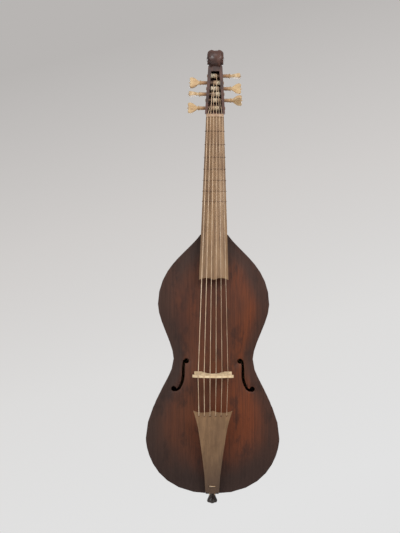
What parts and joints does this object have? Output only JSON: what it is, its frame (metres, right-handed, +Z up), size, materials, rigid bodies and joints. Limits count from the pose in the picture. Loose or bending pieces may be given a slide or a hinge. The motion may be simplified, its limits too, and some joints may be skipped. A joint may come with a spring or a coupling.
{
  "type": "tenor viol",
  "caption": "Bowed viol with waisted arched belly, folded flat back, fretted neck, carved scroll, turning heart-shaped pegs and strings over a bridge to a tailpiece.",
  "frame": {"origin": "middle of the end button's flat lower face", "axes": "+Z up along the body to the scroll, -Y out of the belly, +X to the treble side"},
  "size_m": [0.324, 0.2144, 1.1258],
  "materials": {
    "varnished_spruce": "dark red-brown oil varnish, satin",
    "varnished_maple": "dark brown varnish, satin",
    "bare_spruce": "bare wood",
    "board_wood": "worn light brown, matt",
    "tailpiece_wood": "brown, worn satin",
    "bridge_maple": "bare pale maple",
    "boxwood": "polished boxwood",
    "nut_bone": "pale brown, satin",
    "gut": "oiled gut",
    "dark_wood": "dark stained hardwood"
  },
  "bodies": {
    "body": {"belly": "varnished_spruce", "back": "varnished_maple", "rib_bass": "varnished_maple", "rib_treble": "varnished_maple", "front_lining_bass": "bare_spruce", "front_lining_treble": "bare_spruce", "back_lining_bass": "bare_spruce", "back_lining_treble": "bare_spruce", "neck_block": "bare_spruce", "tail_block": "bare_spruce", "bass_bar": "bare_spruce", "sound_post": "bare_spruce", "sound_post_plate": "bare_spruce", "lower_back_brace": "bare_spruce", "upper_back_brace": "bare_spruce", "neck": "varnished_maple", "pegbox_scroll": "varnished_maple", "fingerboard": "board_wood", "nut": "nut_bone", "bridge": "bridge_maple", "tailpiece": "tailpiece_wood", "tail_gut": "gut", "saddle": "dark_wood", "end_button": "dark_wood", "string_1": "gut", "string_2": "gut", "string_3": "gut", "string_4": "gut", "string_5": "gut", "string_6": "gut"},
    "peg_1": {"peg_1": "boxwood"},
    "peg_2": {"peg_2": "boxwood"},
    "peg_3": {"peg_3": "boxwood"},
    "peg_4": {"peg_4": "boxwood"},
    "peg_5": {"peg_5": "boxwood"},
    "peg_6": {"peg_6": "boxwood"},
    "fret_1": {"fret_1": "gut"},
    "fret_2": {"fret_2": "gut"},
    "fret_3": {"fret_3": "gut"},
    "fret_4": {"fret_4": "gut"},
    "fret_5": {"fret_5": "gut"},
    "fret_6": {"fret_6": "gut"},
    "fret_7": {"fret_7": "gut"}
  },
  "joints": [
    {"name": "peg_1_turn", "type": "hinge", "parent": "body", "child": "peg_1", "pos_m": [0, -0.01523, 0.97572], "axis": [1, 0, 0], "continuous": true},
    {"name": "peg_2_turn", "type": "hinge", "parent": "body", "child": "peg_2", "pos_m": [0, -0.00945, 0.99591], "axis": [1, 0, 0], "continuous": true},
    {"name": "peg_3_turn", "type": "hinge", "parent": "body", "child": "peg_3", "pos_m": [0, -0.0049, 1.01177], "axis": [1, 0, 0], "continuous": true},
    {"name": "peg_4_turn", "type": "hinge", "parent": "body", "child": "peg_4", "pos_m": [0, -0.00076, 1.02619], "axis": [1, 0, 0], "continuous": true},
    {"name": "peg_5_turn", "type": "hinge", "parent": "body", "child": "peg_5", "pos_m": [0, 0.00351, 1.04109], "axis": [1, 0, 0], "continuous": true},
    {"name": "peg_6_turn", "type": "hinge", "parent": "body", "child": "peg_6", "pos_m": [0, 0.00875, 1.05935], "axis": [1, 0, 0], "continuous": true},
    {"name": "fret_1_slide", "type": "slide", "parent": "body", "child": "fret_1", "axis": [0, 0.1483, 0.9889], "range_m": [-0.003, 0.003]},
    {"name": "fret_2_slide", "type": "slide", "parent": "body", "child": "fret_2", "axis": [0, 0.1483, 0.9889], "range_m": [-0.003, 0.003]},
    {"name": "fret_3_slide", "type": "slide", "parent": "body", "child": "fret_3", "axis": [0, 0.1483, 0.9889], "range_m": [-0.003, 0.003]},
    {"name": "fret_4_slide", "type": "slide", "parent": "body", "child": "fret_4", "axis": [0, 0.1483, 0.9889], "range_m": [-0.003, 0.003]},
    {"name": "fret_5_slide", "type": "slide", "parent": "body", "child": "fret_5", "axis": [0, 0.1483, 0.9889], "range_m": [-0.003, 0.003]},
    {"name": "fret_6_slide", "type": "slide", "parent": "body", "child": "fret_6", "axis": [0, 0.1483, 0.9889], "range_m": [-0.003, 0.003]},
    {"name": "fret_7_slide", "type": "slide", "parent": "body", "child": "fret_7", "axis": [0, 0.1483, 0.9889], "range_m": [-0.003, 0.003]}
  ]
}
